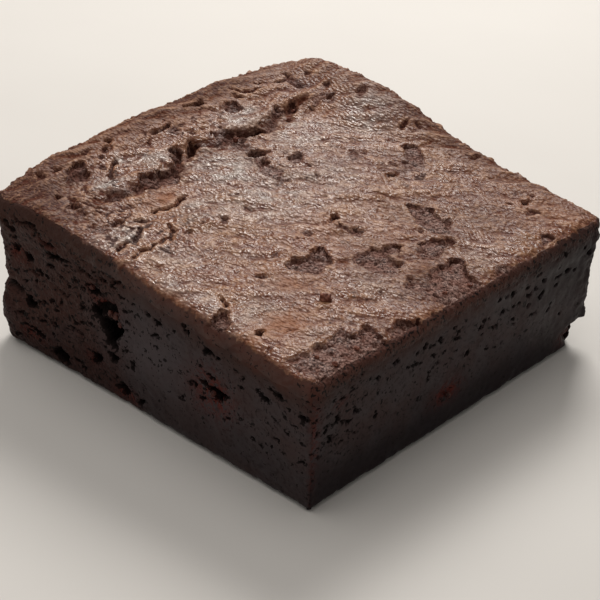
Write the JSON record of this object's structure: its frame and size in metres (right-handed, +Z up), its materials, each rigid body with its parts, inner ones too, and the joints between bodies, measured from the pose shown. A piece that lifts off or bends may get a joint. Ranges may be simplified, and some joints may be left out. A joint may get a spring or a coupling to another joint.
{
  "type": "chocolate brownie",
  "caption": "Square chocolate brownie cut from a tray: thin crackled crust on top, dense porous crumb on the cut sides, flat base.",
  "frame": {"origin": "centre of the brownie's outline, on the flat base it rests on", "axes": "+Z up through the crust; -Y is the front cut face and +X the right cut face; the left and back sides are the higher ones"},
  "size_m": [0.0728, 0.0717, 0.033],
  "materials": {
    "brownie": null
  },
  "bodies": {
    "root": {"brownie": "brownie"}
  },
  "joints": []
}
